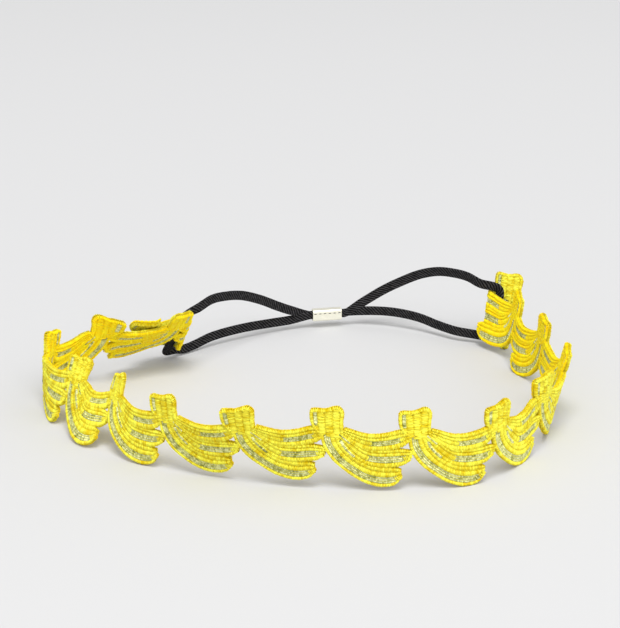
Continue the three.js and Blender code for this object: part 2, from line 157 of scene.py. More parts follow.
# Bands of satin stitch along a form: the share of its width from and to which a band reaches, the
# rows of the form from and to which it runs, its thread, its lanes of stitches side by side, and the
# heights of the stitches' ends and crest.
BAND_COLUMNS = ("low", "high", "start", "end", "thread", "lanes", "foot", "crest")
OUTER_BANDS = (
    (0.00, 0.19, 0.0, 7.0, "yellow", 1, 0.14, 0.86),
    (0.17, 0.51, 0.1, 6.3, "silver", 3, 0.30, 0.66),
    (0.17, 0.51, 6.2, 6.9, "yellow", 1, 0.22, 0.86),
    (0.49, 0.76, 0.0, 6.9, "yellow", 1, 0.22, 0.98),
    (0.75, 1.00, 0.0, 7.0, "yellow", 1, 0.14, 0.90),
    (0.92, 1.09, 0.75, 2.35, "silver", 1, 0.60, 0.98),
)
MIDDLE_BANDS = (
    (0.00, 0.28, 0.0, 4.0, "yellow", 1, 0.14, 0.88),
    (0.26, 0.63, 0.0, 1.4, "yellow", 1, 0.22, 0.84),
    (0.26, 0.63, 1.35, 3.45, "silver", 3, 0.28, 0.66),
    (0.26, 0.63, 3.4, 4.0, "yellow", 1, 0.22, 0.76),
    (0.62, 0.82, 0.0, 4.0, "yellow", 1, 0.22, 0.92),
    (0.81, 1.00, 0.0, 4.0, "yellow", 1, 0.14, 0.82),
    (0.52, 0.70, 0.0, 0.4, "silver", 1, 0.60, 0.94),
)
TOP_BANDS = (
    (0.00, 0.33, 0.0, 4.0, "yellow", 1, 0.14, 0.88),
    (0.31, 0.60, 0.0, 1.3, "yellow", 1, 0.22, 0.84),
    (0.31, 0.60, 1.25, 3.15, "silver", 3, 0.28, 0.66),
    (0.31, 0.60, 3.1, 4.0, "yellow", 1, 0.22, 0.76),
    (0.59, 0.80, 0.0, 4.0, "yellow", 1, 0.22, 0.92),
    (0.79, 1.00, 0.0, 4.0, "yellow", 1, 0.14, 0.88),
)
HANGING_BANDS = (
    (0.00, 0.26, 0.0, 4.0, "yellow", 1, 0.14, 0.84),
    (0.24, 0.52, 0.2, 3.0, "silver", 2, 0.30, 0.62),
    (0.50, 0.75, 0.0, 4.0, "yellow", 1, 0.22, 0.92),
    (0.75, 1.00, 0.0, 4.0, "yellow", 1, 0.14, 0.84),
)
# Cords of stitches that close a banana's tip: the row that they cross, and their half width. All have
# the same heights and reach across the same shares of the row.
TIP_CORDS = {"outer": (6.75, 0.62), "middle": (3.85, 0.45), "top": (3.85, 0.45), "hanging": (3.85, 0.45)}
TIP_CORD_FOOT = 0.16
TIP_CORD_CREST = 0.84
TIP_CORD_SHARES = np.linspace(0.12, 0.88, 4)

# Bands of the crown: a path of (u, v), half width, thread, and heights.
CROWN_RIM = (
    (3, 17.6),
    (1.4, 20.2),
    (1.15, 24),
    (1.8, 24.7),
    (3.6, 24.7),
    (5.5, 24.8),
    (7.8, 25.7),
    (9.1, 25.7),
    (10, 24.4),
    (9.9, 22.6),
    (9.7, 20.6),
    (9.9, 18),
)
CROWN_BANDS = (
    (CROWN_RIM, 0.55, "yellow", 0.14, 0.98),
    (((2.3, 20.2), (2.15, 24.1)), 0.6, "silver", 0.40, 0.84),
    (((4.2, 17), (3.8, 24.3)), 1.2, "yellow", 0.30, 0.92),
    (((6.2, 16.5), (6, 24.5)), 1.2, "yellow", 0.30, 0.96),
    (((8.3, 16.5), (8.4, 25.2)), 1.2, "yellow", 0.30, 0.94),
)

# Elastic strap: its section, its lanes and ends inside the crimp, and its ribs
ELASTIC_EDGE = 0.3
PINCHED_WIDTH = 2.8
PINCHED_THICKNESS = 0.9
LANE = 0.6
STRAP_END_GAP = 0.2
STRAP_LEAD = 1.2
STRAP_STEPS = 8
STRAP_RIBS = 7
RIB_DEPTH = 0.09
# The strap's route outside the folds, and the way its broad face looks in plan, in degrees.
LEFT_LOWER_STRAND = (
    (-7.3, -17.2, 3.9, 111),
    (-13.8, -20, 3.9, 116),
    (-24.6, -26, 4.2, 121),
    (-35.2, -32.9, 3.7, 125),
    (-41.4, -38.2, 2.5, 126),
    (-44.8, -40.8, 2.1, 127),
    (-48, -43.2, 2.8, 128),
)
LEFT_UPPER_STRAND = (
    (-38.4, -55.4, 22.6, 138),
    (-34, -47.9, 23, 145),
    (-29.1, -41.1, 21.8, 143),
    (-24, -34.5, 19.6, 141),
    (-17.8, -27.4, 15.5, 137),
    (-11.5, -21.5, 10.8, 129),
    (-7.2, -18.3, 8.1, 123),
)
RIGHT_LOWER_STRAND = (
    (18.3, -13, 5.6, 84),
    (27, -15, 6.1, 71),
    (33.5, -17.8, 6.1, 63),
    (39.8, -21.4, 5.6, 57),
    (46.1, -26, 4.4, 51),
    (52.3, -30.8, 3.8, 50),
    (57.3, -32.9, 3.5, 58),
    (61.7, -34.4, 3.3, 56),
)
RIGHT_UPPER_STRAND = (
    (60.1, -36.9, 23.8, 46),
    (56.2, -32.6, 24.8, 45),
    (52.2, -28.9, 24.9, 50),
    (46.1, -24.3, 24.2, 56),
    (39.8, -20.4, 21.9, 61),
    (33.5, -17.4, 18.4, 67),
    (27, -15, 14.4, 73),
    (18.6, -13.2, 8.6, 84),
)
# Its route inside the folds, in the strip's own axes there: along, out and up.
LEFT_POCKET = (
    (0.8, 2.8, -2.8),
    (1.8, 1.9, 3),
    (1.5, 1.9, 8.5),
    (1.4, 1.9, 13),
    (1.2, 1.8, 17),
    (0, 2, 21),
)
RIGHT_POCKET = (
    (0.8, 2.5, 3.2),
    (-1.4, 1.9, 7.4),
    (-1.5, 1.9, 13),
    (-1.3, 1.9, 19.2),
)

# Crimp
CRIMP_PLACE = (6.1, -14.0, 4.9)
CRIMP_HEADING = 9.0
CRIMP_LENGTH = 10.6
CRIMP_WALL = 0.4
CRIMP_GAP = 0.3
CRIMP_SEAM = 0.3
CRIMP_CORNER = 0.7
CRIMP_DASHES = 6
CRIMP_DASHES_AT = 0.75
CRIMP_ROUNDING = 3
CRIMP_BRIDGE = 0.1
# A dash of the crimp's seam: shares of its length, and how far the seam is open there.
CRIMP_DASH = ((0.0, CRIMP_BRIDGE), (0.24, CRIMP_BRIDGE), (0.3, 1.0), (0.72, 1.0), (0.78, CRIMP_BRIDGE))

# Stitches: a thread's section and arch, how far crests differ, and points along the lines they follow
THREAD_DEPTH = 0.22
THREAD_SIDES = 4
ARCH_POINTS = 4
CREST_SPREAD = (0.88, 1.1)
LANE_STAGGER = 0.03
BAND_STEPS = 5
CROWN_STEPS = 4
YELLOW_GROUPS = 6
SILVER_GROUPS = 4
SEED_STEP = 10
STITCH_INPUTS = (
    ("Geometry", "Geometry"),
    ("Spacing", "Float"),
    ("Thread width", "Float"),
    ("Ragged ends", "Float"),
    ("Slant", "Float"),
    ("Seed", "Int"),
    ("Material", "Material"),
)

# Lace ground under the stitches: its points across and along, half thickness, margin and thin edges
GROUND_ACROSS = 6
GROUND_STEPS = 4
GROUND_HALF = 0.5
GROUND_MARGIN = 0.03
GROUND_EDGE = 0.25
GROUND_ROUNDING = 4

# Finishes: the fibre's depth in metres, how soon a rising thread takes the inner face's painted shade and
# warm bounce light, and the crimp's darkest shade
FIBRE_DEPTH = 0.0001
INNER_RISE = 2.5
CRIMP_DARKER = 0.82

# Sockets that share their names with others of their node
MIX_FACTOR = 0
MIX_LOW = 6
MIX_HIGH = 7
MIX_RESULT = 2
RANDOM_LOW = 2
RANDOM_HIGH = 3
RANDOM_RESULT = 1

# Stage in metres: the floor and its painted shade, which fades from near to far, how the light from all
# around leans to the right and the front, and the two lamps
FLOOR_SIZE = 8.0
FLOOR_FADE = (0.05, 0.5)
FLOOR_MOTTLE = 0.1
FLOOR_NEAR_SHADE = 0.97
AMBIENT_SLOPE = (0.4, -0.5, 0.0)
KEY_PLACE = (0.0, -1.3, 2.9)
KEY_SIZE = 1.4
FRONT_PLACE = (1.2, -3.9, 3.6)
FRONT_SIZE = 2.5

# Camera at the photograph's angle: pixels, millimetres, degrees and metres
IMAGE_HEIGHT = 628
FOCAL_PIXELS = 2147
SENSOR = 36.0
CAMERA_ELEVATION = 19.64
CAMERA_ROLL = -0.75
CAMERA_DISTANCE = 0.8
CAMERA_NEAR = 0.01


# Settings


class LaceSettings(bpy.types.PropertyGroup):
    """Sizes and colours of the embroidered lace"""

    spacing: FloatProperty(
        name="Stitch spacing",
        description="Distance from one stitch to the next",
        default=0.00047,
        min=0.0002,
        unit="LENGTH",
    )
    thread: FloatProperty(
        name="Thread width",
        description="Width of one stitch's thread",
        default=0.00051,
        min=0.0001,
        unit="LENGTH",
    )
    ragged: FloatProperty(
        name="Ragged ends",
        description="How much the stitches' lengths differ, as a share of a band's half width",
        default=0.09,
        subtype="FACTOR",
    )
    slant: FloatProperty(
        name="Slant",
        description="How far stitches turn either way from straight across their band",
        default=math.radians(9),
        subtype="ANGLE",
    )
    # The satin thread's own yellow, paled a little at this bright end to paint its highlights
    yellow: FloatVectorProperty(
        name="Yellow thread",
        description="Colour of the satin thread on the outer face",
        default=(0.915, 0.897, 0.082),
        subtype="COLOR",
    )
    # Painted shade: the yellow thread darkened where it dips between bands, and in the lace ground
    # between stitches
    crease_shade_yellow: FloatVectorProperty(
        name="Deep yellow thread",
        description="Colour of the satin thread where it dips between bands",
        default=(0.68, 0.50, 0.001),
        subtype="COLOR",
    )
    # Painted warm bounce light and shade: the yellow thread tinted orange on the inner face of the ring
    inner_bounce_orange: FloatVectorProperty(
        name="Inner thread",
        description="Colour of the satin thread on the inner face",
        default=(1.0, 0.86, 0.015),
        subtype="COLOR",
    )
    # Painted shade where the inner face's thread dips between bands, on top of its painted bounce light
    inner_crease_shade: FloatVectorProperty(
        name="Deep inner thread",
        description="Colour of the inner face's thread where it dips between bands",
        default=(0.98, 0.68, 0.001),
        subtype="COLOR",
    )
    # Brightest and darkest metal threads: the spread between them paints the metal's glints and sparkle,
    # and a little painted shade where threads dip between bands
    silver: FloatVectorProperty(
        name="Silver thread",
        description="Colour of the brightest metal threads",
        default=(0.88, 0.90, 0.45),
        subtype="COLOR",
    )
    dark_silver: FloatVectorProperty(
        name="Dark silver thread",
        description="Colour of the darkest metal threads",
        default=(0.27, 0.29, 0.04),
        subtype="COLOR",
    )
    seed: IntProperty(name="Seed", description="Seed of the stitches' small differences", default=7)


class ElasticSettings(bpy.types.PropertyGroup):
    """Sizes and colours of the elastic strap"""

    width: FloatProperty(
        name="Width", description="Width of the strap", default=0.0034, min=0.001, unit="LENGTH"
    )
    thickness: FloatProperty(
        name="Thickness", description="Thickness of the strap", default=0.0011, min=0.0005, unit="LENGTH"
    )
    colour: FloatVectorProperty(
        name="Yarn",
        description="Colour of the covering yarn",
        default=(0.006, 0.006, 0.0064),
        subtype="COLOR",
    )
    # Painted highlight: the yarn's colour where it catches light, laid in flecks along the strap
    braid_glint: FloatVectorProperty(
        name="Raised yarn",
        description="Colour of the yarn where it catches light",
        default=(0.062, 0.06, 0.064),
        subtype="COLOR",
    )


class CrimpSettings(bpy.types.PropertyGroup):
    """Finish of the metal crimp"""

    colour: FloatVectorProperty(
        name="Brass", description="Colour of the metal", default=(1.0, 0.98, 0.84), subtype="COLOR"
    )
    bevel: FloatProperty(
        name="Rounding", description="Rounding of its edges", default=0.00007, min=0, unit="LENGTH"
    )


class StageSettings(bpy.types.PropertyGroup):
    """Floor and light"""

    floor: FloatVectorProperty(
        name="Floor", description="Colour of the floor", default=(0.605, 0.605, 0.609), subtype="COLOR"
    )
    ambient: FloatProperty(
        name="Ambient", description="Strength of the light from all around", default=0.75, min=0
    )
    key: FloatProperty(
        name="Key light", description="Power of the large light above", default=63.0, subtype="POWER"
    )
    front: FloatProperty(
        name="Front light", description="Power of the large light in front", default=62.0, subtype="POWER"
    )


# The ring that the lace stands in


def frame_shift():
    """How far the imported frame's origin is from the tables' own, read from the crimp's box."""
    low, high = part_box("crimp")
    middle = (np.array(low) + np.array(high)) / 2 / MM
    return np.array((middle[0] - CRIMP_PLACE[0], middle[1] - CRIMP_PLACE[1], 0.0))


SHIFT = frame_shift()


def plan_direction(degrees):
    angle = np.radians(np.asarray(degrees, float))
    return np.stack((np.cos(angle), np.sin(angle), np.zeros_like(angle)), axis=-1)


def arc_end(place, heading, turn, length):
    """Where an arc ends that starts at a place with a heading in degrees and turns evenly."""
    half = np.asarray(turn, float) / 2
    straight = np.abs(half) < TINY
    divisor = np.where(straight, 1.0, half)
    chord = length * np.where(straight, 1.0, np.sin(divisor) / divisor)
    angle = np.radians(heading) + half
    return place + np.stack((chord * np.cos(angle), chord * np.sin(angle)), axis=-1)


def ring_places():
    places = [np.array(RING_START)]
    for before, row in zip(STANCE, STANCE[1:]):
        turn = math.radians(row[1] - before[1])
        places.append(arc_end(places[-1], before[1], turn, (row[0] - before[0]) * PITCH))
    return np.array(places)


RING_PLACES = ring_places()


def ring_frame(s):
    """The strip's axes at places along it: foot, along, up and out, one row each."""
    at = np.atleast_1d(np.asarray(s, float)) / PITCH
    index = np.clip(np.searchsorted(STANCE[:, 0], at, side="right") - 1, 0, len(STANCE) - 2)
    rows, following = STANCE[index], STANCE[index + 1]
    part = (at - rows[:, 0]) / (following[:, 0] - rows[:, 0])
    turn = np.radians(following[:, 1] - rows[:, 1]) * part
    place = arc_end(RING_PLACES[index], rows[:, 1], turn, (at - rows[:, 0]) * PITCH)
    heading = rows[:, 1] + np.degrees(turn)
    lean = np.radians(rows[:, 2] + (following[:, 2] - rows[:, 2]) * part)[:, None]
    lift = rows[:, 3] + (following[:, 3] - rows[:, 3]) * part
    outwards = plan_direction(heading - 90)
    upright = np.array((0.0, 0.0, 1.0))
    up = upright * np.cos(lean) - outwards * np.sin(lean)
    out = upright * np.sin(lean) + outwards * np.cos(lean)
    foot = np.column_stack((place, lift - SETTLE))
    return foot, plan_direction(heading), up, out


def turned(vectors, axis, angle):
    """Vectors turned about an axis, each by its own angle."""
    angle = angle[:, None]
    along = (vectors @ axis)[:, None] * axis
    sideways = np.cross(axis, vectors)
    return vectors * np.cos(angle) + sideways * np.sin(angle) + along * (1 - np.cos(angle))


def folded_frame(fold, run):
    """The strip's axes past a fold at one end: an arc, and then a straight flap that leans more."""
    foot, along, up, out = (axis[0] for axis in ring_frame(fold["at"]))
    ahead = along * fold["forward"]
    angle = np.minimum(run / FOLD_RADIUS, math.radians(fold["turn"]))
    straight = run - FOLD_RADIUS * angle
    sine, cosine = np.sin(angle), np.cos(angle)
    feet = foot + np.outer(FOLD_RADIUS * sine + straight * cosine, ahead)
    feet = feet + np.outer(FOLD_RADIUS * (1 - cosine) + straight * sine, out)
    feet = feet - np.outer(fold["droop"] * straight, up)
    outs = np.outer(cosine, out) - np.outer(sine, ahead)
    extra = -math.radians(fold["lean"]) * np.minimum(straight / fold["lean_within"], 1)
    ups = turned(np.tile(up, (len(run), 1)), along, extra)
    return feet, ups, turned(outs, along, extra)


def bent(flat, free_tip):
    """Flat places (s, v, w) of the strip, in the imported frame. free_tip marks the loose tip's."""
    s = flat[:, 0]
    feet, _, ups, outs = ring_frame(np.clip(s, LEFT_FOLD["at"], RIGHT_FOLD["at"]))
    left = s < LEFT_FOLD["at"]
    right = s > RIGHT_FOLD["at"]
    ends = ((LEFT_FOLD, left), (RIGHT_FOLD, right & ~free_tip), (TIP_FOLD, right & free_tip))
    for fold, chosen in ends:
        if chosen.any():
            run = (s[chosen] - fold["at"]) * fold["forward"]
            feet[chosen], ups[chosen], outs[chosen] = folded_frame(fold, run)
    points = feet + ups * flat[:, 1:2] + outs * flat[:, 2:3] + SHIFT
    points[:, 2] = np.maximum(points[:, 2], FLOOR_CLEARANCE)
    return points


# Mesh helpers


def smooth(rows, at):
    """A smooth line through rows, at places counted in rows."""
    rows = np.asarray(rows, float)
    padded = np.vstack((2 * rows[0] - rows[1], rows, 2 * rows[-1] - rows[-2]))
    at = np.asarray(at, float)
    index = np.clip(np.floor(at).astype(int), 0, len(rows) - 2)
    t = (at - index)[:, None]
    before, start, end, after = (padded[index + step] for step in range(4))
    pull = (end - before) * t + (2 * before - 5 * start + 4 * end - after) * t**2
    return start + (pull + (3 * start - before - 3 * end + after) * t**3) / 2


def new_object(name, points, faces, edges=()):
    mesh = bpy.data.meshes.new(name)
    mesh.from_pydata([tuple(point) for point in points], list(edges), list(faces))
    mesh.update()
    piece = bpy.data.objects.new(name, mesh)
    bpy.context.collection.objects.link(piece)
    return piece


def set_attribute(mesh, name, values):
    attribute = mesh.attributes.new(name, "FLOAT", "POINT")
    attribute.data.foreach_set("value", np.asarray(values, np.float32))


def read_attribute(mesh, name):
    values = np.zeros(len(mesh.vertices), np.float32)
    mesh.attributes[name].data.foreach_get("value", values)
    return values


def read_points(mesh):
    points = np.zeros(3 * len(mesh.vertices), np.float32)
    mesh.vertices.foreach_get("co", points)
    return points.reshape(-1, 3).astype(float)


def write_points(mesh, points):
    mesh.vertices.foreach_set("co", np.asarray(points, np.float32).ravel())
    mesh.update()


def triangle_count(mesh):
    return sum(len(face.vertices) - 2 for face in mesh.polygons)


def finish_piece(piece, node):
    """The piece stands for a CAD node, whose part it hides, and rides with the body."""
    if triangle_count(piece.data) > MOST_TRIANGLES:
        raise RuntimeError(f"{piece.name} has {triangle_count(piece.data)} triangles")
    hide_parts(node)
    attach(piece, "root")


# Nodes of materials and of Geometry Nodes


def new_node(tree, kind, **settings):
    made = tree.nodes.new(kind)
    for name, value in settings.items():
        setattr(made, name, value)
    return made


def feed(tree, target, value):
    """Give an input socket a constant, or the value of another socket."""
    if isinstance(value, bpy.types.NodeSocket):
        tree.links.new(value, target)
    else:
        target.default_value = value


def set_inputs(tree, made, **values):
    """Feed a node's inputs by their names, with underscores for spaces."""
    for name, value in values.items():
        feed(tree, made.inputs[name.replace("_", " ")], value)


def calculated(tree, operation, *values, clamp=False):
    """The result of a Math node on sockets and numbers."""
    made = new_node(tree, "ShaderNodeMath", operation=operation, use_clamp=clamp)
    for target, value in zip(made.inputs, values):
        feed(tree, target, value)
    return made.outputs[0]


def vector_of(tree, x=0.0, y=0.0, z=0.0):
    made = new_node(tree, "ShaderNodeCombineXYZ")
    set_inputs(tree, made, X=x, Y=y, Z=z)
    return made.outputs["Vector"]


def ranged(tree, value, **limits):
    """A value moved from one range to another."""
    made = new_node(tree, "ShaderNodeMapRange")
    set_inputs(tree, made, Value=value, **limits)
    return made.outputs["Result"]


def mixed_colour(tree, factor, low, high):
    """A colour between two, which are colours or sockets, by a factor socket."""
    mix = new_node(tree, "ShaderNodeMix", data_type="RGBA")
    feed(tree, mix.inputs[MIX_FACTOR], factor)
    for place, colour in ((MIX_LOW, low), (MIX_HIGH, high)):
        given = isinstance(colour, bpy.types.NodeSocket)
        feed(tree, mix.inputs[place], colour if given else (*colour, 1))
    return mix.outputs[MIX_RESULT]


def object_place(tree):
    return new_node(tree, "ShaderNodeTexCoord").outputs["Object"]


def object_noise(tree, **values):
    """Noise in the piece's own coordinates."""
    noise = new_node(tree, "ShaderNodeTexNoise")
    set_inputs(tree, noise, Vector=object_place(tree), **values)
    return noise.outputs["Fac"]


def attribute(tree, name):
    return new_node(tree, "ShaderNodeAttribute", attribute_name=name).outputs["Fac"]


# Materials


def new_material(name):
    material = bpy.data.materials.new(name)
    material.use_nodes = True
    tree = material.node_tree
    return material, tree, tree.nodes["Principled BSDF"]


def set_bump(tree, shader, height, strength):
    bump = new_node(tree, "ShaderNodeBump")
    set_inputs(tree, bump, Height=height, Strength=strength, Distance=FIBRE_DEPTH)
    set_inputs(tree, shader, Normal=bump.outputs["Normal"])


def yarn_bump(tree, shader, scale, strength):
    """Fine fibre in the thread's surface."""
    fibre = object_noise(tree, Scale=scale, Detail=2.0, Roughness=0.6)
    set_bump(tree, shader, fibre, strength)
    return fibre


def thread_light(tree, own, depth, patch_scale, patch):
    """How light a thread is: its own random tone, which also paints sparkle highlights, painted shade at
    its feet where it dips between two bands and a painted highlight towards its crest, and patches of
    tone.
    """
    shade = calculated(tree, "MULTIPLY_ADD", attribute(tree, "thread_shade"), own, 1 - own - depth)
    # Painted shade and highlight from the thread's height along its arch: darker at its feet, lighter at
    # its crest
    crease_shaded = calculated(tree, "MULTIPLY_ADD", attribute(tree, "lift"), depth, shade)
    patches = object_noise(tree, Scale=patch_scale, Detail=1.0)
    swing = ranged(tree, patches, From_Min=0.35, From_Max=0.65, To_Min=-patch, To_Max=patch)
    return calculated(tree, "ADD", crease_shaded, swing, clamp=True)


def inner_bounce_mask(tree):
    """Where the inner face's painted shade and warm bounce light go: 1 on the lace's inner face, 0 on its
    outer one and where an inner thread comes through to it.
    """
    inner = calculated(tree, "LESS_THAN", attribute(tree, "side"), 0.0)
    raised = calculated(tree, "MULTIPLY", attribute(tree, "lift"), INNER_RISE, clamp=True)
    return calculated(tree, "MULTIPLY", inner, raised)


def yellow_material(settings):
    material, tree, shader = new_material("Yellow satin thread")
    # The thread runs from painted crease shade to its paled yellow, and the spread between them also
    # paints the satin's sparkle
    light = thread_light(tree, own=0.75, depth=0.5, patch_scale=280.0, patch=0.26)
    outer = mixed_colour(tree, light, settings.crease_shade_yellow, settings.yellow)
    inner = mixed_colour(tree, light, settings.inner_crease_shade, settings.inner_bounce_orange)
    # On the inner face the thread takes painted warm bounce light and shade instead of its outer yellow
    colour = mixed_colour(tree, inner_bounce_mask(tree), outer, inner)
    set_inputs(tree, shader, Base_Color=colour, Roughness=0.42, Specular_IOR_Level=0.12)
    yarn_bump(tree, shader, scale=5200.0, strength=0.35)
    return material


def silver_material(settings):
    material, tree, shader = new_material("Silver metal thread")
    # Painted sparkle: each thread's random shade runs from dark to bright metal, with a little painted
    # shade at its feet
    light = thread_light(tree, own=0.8, depth=0.15, patch_scale=800.0, patch=0.3)
    colour = mixed_colour(tree, light, settings.dark_silver, settings.silver)
    set_inputs(tree, shader, Base_Color=colour, Metallic=0.4, Roughness=0.32, Specular_IOR_Level=0.8)
    yarn_bump(tree, shader, scale=6400.0, strength=0.5)
    return material


def ground_material(settings):
    material, tree, shader = new_material("Yellow lace ground")
    fibre = yarn_bump(tree, shader, scale=2600.0, strength=0.6)
    # Fibre mottle down to the crease shade colour, so the gaps between stitches show painted shade
    colour = mixed_colour(tree, fibre, settings.crease_shade_yellow, settings.yellow)
    set_inputs(tree, shader, Base_Color=colour, Roughness=0.75)
    return material


def elastic_material(settings):
    """Black yarn with the braid's slanted stitches, and painted glints of light in flecks along the
    strap.
    """
    material, tree, shader = new_material("Braided black elastic")
    place = new_node(tree, "ShaderNodeUVMap", uv_map="strap").outputs["UV"]
    wave = new_node(tree, "ShaderNodeTexWave", wave_type="BANDS", bands_direction="DIAGONAL")
    set_inputs(tree, wave, Vector=place, Scale=0.5, Distortion=2.5, Detail=1.0)
    slanted = wave.outputs["Fac"]
    stretched = new_node(tree, "ShaderNodeMapping")
    set_inputs(tree, stretched, Vector=place, Scale=(1.6, 0.5, 1.0))
    flecks = new_node(tree, "ShaderNodeTexNoise")
    set_inputs(tree, flecks, Vector=stretched.outputs["Vector"], Scale=0.7, Detail=3.0, Roughness=0.65)
    both = calculated(tree, "MULTIPLY", slanted, flecks.outputs["Fac"])
    light = ranged(tree, both, From_Min=0.15, From_Max=0.55)
    colour = mixed_colour(tree, light, settings.colour, settings.braid_glint)
    set_inputs(tree, shader, Base_Color=colour, Roughness=0.7, Specular_IOR_Level=0.02)
    set_bump(tree, shader, slanted, strength=0.5)
    return material


def crimp_material(settings):
    material, tree, shader = new_material("Pale brass")
    rubbed = object_noise(tree, Scale=900.0, Detail=3.0)
    darker = tuple(CRIMP_DARKER * part for part in settings.colour)
    colour = mixed_colour(tree, rubbed, darker, settings.colour)
    rough = ranged(tree, rubbed, To_Min=0.24, To_Max=0.42)
    set_inputs(tree, shader, Base_Color=colour, Roughness=rough, Metallic=0.6)
    return material


def floor_material(settings):
    """A pale floor, mottled a little, with painted shade that makes it slightly darker where it is near.
    """
    material, tree, shader = new_material("Pale floor")
    mottle = object_noise(tree, Scale=3.0, Detail=2.0)
    parted = new_node(tree, "ShaderNodeSeparateXYZ")
    set_inputs(tree, parted, Vector=object_place(tree))
    near, far = FLOOR_FADE
    fade = ranged(tree, parted.outputs["Y"], From_Min=near, From_Max=far, To_Max=1 - FLOOR_MOTTLE)
    tone = calculated(tree, "MULTIPLY_ADD", mottle, FLOOR_MOTTLE, fade)
    near_shaded = tuple(FLOOR_NEAR_SHADE * part for part in settings.floor)
    colour = mixed_colour(tree, tone, near_shaded, settings.floor)
    set_inputs(tree, shader, Base_Color=colour, Roughness=0.8, Specular_IOR_Level=0.2)
    return material


# Lines that the stitches follow


def band_lines(form, bands, thread):
    """Lines along a form's bands of one thread: points (u, v), half width, foot and crest."""
    form = np.asarray(form, float)
    lines = []
    for values in bands:
        band = dict(zip(BAND_COLUMNS, values))
        if band["thread"] != thread:
            continue
        count = max(int((band["end"] - band["start"]) * BAND_STEPS) + 1, 3)
        lane = (band["high"] - band["low"]) / band["lanes"]
        for number in range(band["lanes"]):
            start = band["start"] + number * LANE_STAGGER
            sections = smooth(form, np.linspace(start, band["end"], count))
            low, top = sections[:, :2], sections[:, 2:]
            middle = low + (top - low) * (band["low"] + lane * (number + 0.5))
            half = np.linalg.norm(top - low, axis=1) * lane / 2
            lines.append((middle, half, band["foot"], band["crest"]))
    return lines


def tip_line(form, row, half):
    """A short cord of stitches across a banana's tip."""
    section = smooth(np.asarray(form, float), [row])[0]
    middle = section[:2] + (section[2:] - section[:2]) * TIP_CORD_SHARES[:, None]
    return middle, np.full(len(middle), half), TIP_CORD_FOOT, TIP_CORD_CREST


def crown_lines(thread):
    lines = []
    for path, half, wanted, foot, crest in CROWN_BANDS:
        if wanted != thread:
            continue
        middle = smooth(path, np.linspace(0, len(path) - 1, CROWN_STEPS * len(path)))
        lines.append((middle, np.full(len(middle), half), foot, crest))
    return lines


def bunch_lines(index, thread):
    """Lines of one bunch, each with whether it belongs to the loose tip."""
    if index == LAST_BUNCH:
        forms = [("hanging", HANGING_BANANA, HANGING_BANDS)]
    else:
        forms = [
            ("outer", OUTER_BANANA, OUTER_BANDS),
            ("middle", MIDDLE_BANANA, MIDDLE_BANDS),
            ("top", TOP_BANANA, TOP_BANDS),
        ]
    lines = [(*line, False) for line in crown_lines(thread)]
    for name, form, bands in forms:
        loose = name == "outer" and index == LAST_BUNCH - 1
        lines += [(*line, loose) for line in band_lines(form, bands, thread)]
        if thread == "yellow":
            lines.append((*tip_line(form, *TIP_CORDS[name]), loose))
    return lines


def line_object(name, bunches, thread):
    """The lines that the stitches of some bunches follow, on both faces of the flat strip."""
    points, edges = [], []
    facts = {"half_width": [], "rise": [], "side": [], "loose": []}
    for index in bunches:
        for middle, half, foot, crest, loose in bunch_lines(index, thread):
            for side in (1, -1):
                first = len(points)
                for (u, v), width in zip(middle, half):
                    points.append((u + index * PITCH, v, side * foot))
                    facts["half_width"].append(width * MM)
                facts["rise"] += [(crest - foot) * MM] * len(middle)
                facts["side"] += [side] * len(middle)
                facts["loose"] += [float(loose)] * len(middle)
                edges += [(first + i, first + i + 1) for i in range(len(middle) - 1)]
    piece = new_object(name, np.array(points) * MM, (), edges)
    for fact, values in facts.items():
        set_attribute(piece.data, fact, values)
    return piece


# Stitches


def named(tree, name):
    made = new_node(tree, "GeometryNodeInputNamedAttribute", data_type="FLOAT")
    set_inputs(tree, made, Name=name)
    return made.outputs["Attribute"]


def chance(tree, seed, low, high, draw):
    """A random number for each stitch, the draws told apart by their own numbers."""
    made = new_node(tree, "FunctionNodeRandomValue", data_type="FLOAT")
    feed(tree, made.inputs[RANDOM_LOW], low)
    feed(tree, made.inputs[RANDOM_HIGH], high)
    set_inputs(tree, made, Seed=calculated(tree, "ADD", seed, draw))
    return made.outputs[RANDOM_RESULT]


def arched_thread(tree, width):
    """One stitch's thread, two units long and one high, which keeps its height as the attribute lift."""
    arch = new_node(tree, "GeometryNodeCurveArc", mode="POINTS")
    set_inputs(tree, arch, Resolution=ARCH_POINTS, Start=(-1, 0, 0), Middle=(0, 0, 1), End=(1, 0, 0))
    section = new_node(tree, "GeometryNodeCurvePrimitiveCircle", mode="RADIUS")
    set_inputs(tree, section, Resolution=THREAD_SIDES, Radius=THREAD_DEPTH)
    tube = new_node(tree, "GeometryNodeCurveToMesh")
    set_inputs(tree, tube, Curve=arch.outputs["Curve"], Profile_Curve=section.outputs["Curve"])
    set_inputs(tree, tube, Fill_Caps=True)
    parted = new_node(tree, "ShaderNodeSeparateXYZ")
    set_inputs(tree, parted, Vector=new_node(tree, "GeometryNodeInputPosition").outputs["Position"])
    lift = new_node(tree, "GeometryNodeStoreNamedAttribute", data_type="FLOAT", domain="POINT")
    set_inputs(tree, lift, Geometry=tube.outputs["Mesh"], Name="lift", Value=parted.outputs["Z"])
    breadth = calculated(tree, "DIVIDE", width, 2 * THREAD_DEPTH)
    flat = new_node(tree, "GeometryNodeTransform")
    set_inputs(tree, flat, Geometry=lift.outputs["Geometry"], Scale=vector_of(tree, 1.0, breadth, 1.0))
    return flat.outputs["Geometry"]


